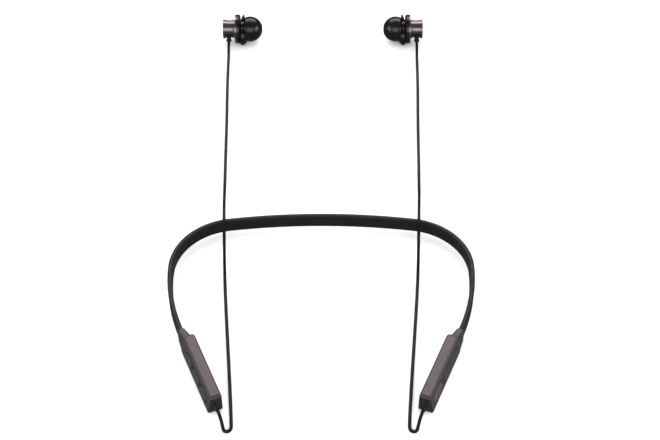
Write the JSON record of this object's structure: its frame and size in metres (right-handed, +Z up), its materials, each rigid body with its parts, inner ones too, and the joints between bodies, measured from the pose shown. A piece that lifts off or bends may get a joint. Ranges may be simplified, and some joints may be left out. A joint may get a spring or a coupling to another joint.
{
  "type": "neckband earphones",
  "caption": "Wireless neckband earphones: a curved strap between a control pod and a battery pod, each with a thin cable to an in-ear bud.",
  "frame": {"origin": "on the table, under the centre of the box of the strap, pods and earbuds, without the free cables", "axes": "+Z up off the table, +Y from the pods towards the earbuds, +X towards the wearer's left pod, which holds the battery"},
  "size_m": [0.1438, 0.2831, 0.0164],
  "materials": {
    "strap_rubber": "matt black silicone over-mould",
    "spring_steel": "bare spring wire",
    "flex": "amber polyimide flex",
    "pod_shell": "satin dark mauve moulding",
    "pod_cover": "satin mauve-grey metallic",
    "pod_collar": "satin mauve-grey metallic",
    "gloss_black": "polished black moulding",
    "key": "semi-gloss dark mauve keys",
    "flap_silicone": "satin dark silicone",
    "silicone": "glossy black silicone",
    "board": "green solder mask",
    "component": "black moulded component",
    "switch_metal": "stamped steel switch can",
    "battery_foil": "laminated foil pouch",
    "socket_metal": "plated steel socket",
    "light_pipe": "frosted clear rod",
    "bud_metal": "brushed anodised mauve",
    "bud_flange": "gloss dark mauve",
    "magnet": "nickel plated magnet",
    "driver": "plated driver basket",
    "mesh": "woven steel mesh",
    "cable_jacket": "satin black TPE jacket"
  },
  "bodies": {
    "headset": {"battery_cell": "battery_foil", "battery_pod_cable_relief": "strap_rubber", "battery_pod_collar": "pod_collar", "battery_pod_cover": "pod_cover", "battery_pod_end_cap": "gloss_black", "battery_pod_shell": "pod_shell", "bluetooth_module": "component", "charging_board": "board", "charging_socket": "socket_metal", "control_board": "board", "control_pod_cable_relief": "strap_rubber", "control_pod_collar": "pod_collar", "control_pod_cover": "pod_cover", "control_pod_end_cap": "gloss_black", "control_pod_shell": "pod_shell", "left_bud_cable_relief": "strap_rubber", "left_bud_driver": "driver", "left_bud_front_housing": "bud_flange", "left_bud_magnet": "magnet", "left_bud_rear_cap": "bud_flange", "left_bud_rear_housing": "bud_metal", "left_cable": "cable_jacket", "left_ear_wing": "silicone", "left_nozzle_mesh": "mesh", "link_ribbon": "flex", "memory_wire": "spring_steel", "microphone": "component", "neckband_strap": "strap_rubber", "power_switch": "switch_metal", "right_bud_cable_relief": "strap_rubber", "right_bud_driver": "driver", "right_bud_front_housing": "bud_flange", "right_bud_magnet": "magnet", "right_bud_rear_cap": "bud_flange", "right_bud_rear_housing": "bud_metal", "right_cable": "cable_jacket", "right_ear_wing": "silicone", "right_nozzle_mesh": "mesh", "status_light_pipe": "light_pipe", "tactile_switches": "switch_metal"},
    "volume_up_key": {"volume_up_button": "key"},
    "play_key": {"play_button": "key"},
    "volume_down_key": {"volume_down_button": "key"},
    "power_key": {"power_button": "key"},
    "port_flap": {"port_cover": "flap_silicone"},
    "left_tip": {"left_ear_tip": "silicone"},
    "right_tip": {"right_ear_tip": "silicone"}
  },
  "joints": [
    {"name": "volume_up_press", "type": "slide", "parent": "headset", "child": "volume_up_key", "axis": [0.9092, 0.3785, -0.1738], "range_m": [0, 0.0004], "stiffness_N_per_m": 2500},
    {"name": "play_press", "type": "slide", "parent": "headset", "child": "play_key", "axis": [0.9092, 0.3785, -0.1738], "range_m": [0, 0.0004], "stiffness_N_per_m": 2500},
    {"name": "volume_down_press", "type": "slide", "parent": "headset", "child": "volume_down_key", "axis": [0.9092, 0.3785, -0.1738], "range_m": [0, 0.0004], "stiffness_N_per_m": 2500},
    {"name": "power_press", "type": "slide", "parent": "headset", "child": "power_key", "axis": [-0.9092, 0.3785, -0.1738], "range_m": [0, 0.0004], "stiffness_N_per_m": 2500},
    {"name": "port_flap_hinge", "type": "hinge", "parent": "headset", "child": "port_flap", "pos_m": [0.04884, -0.13156, 0.00502], "axis": [0.1604, -0.0668, -0.9848], "range_deg": [0, 95]},
    {"name": "left_tip_pull", "type": "slide", "parent": "headset", "child": "left_tip", "axis": [-1, 0, 0], "range_m": [0, 0.01]},
    {"name": "right_tip_pull", "type": "slide", "parent": "headset", "child": "right_tip", "axis": [1, 0, 0], "range_m": [0, 0.01]}
  ]
}
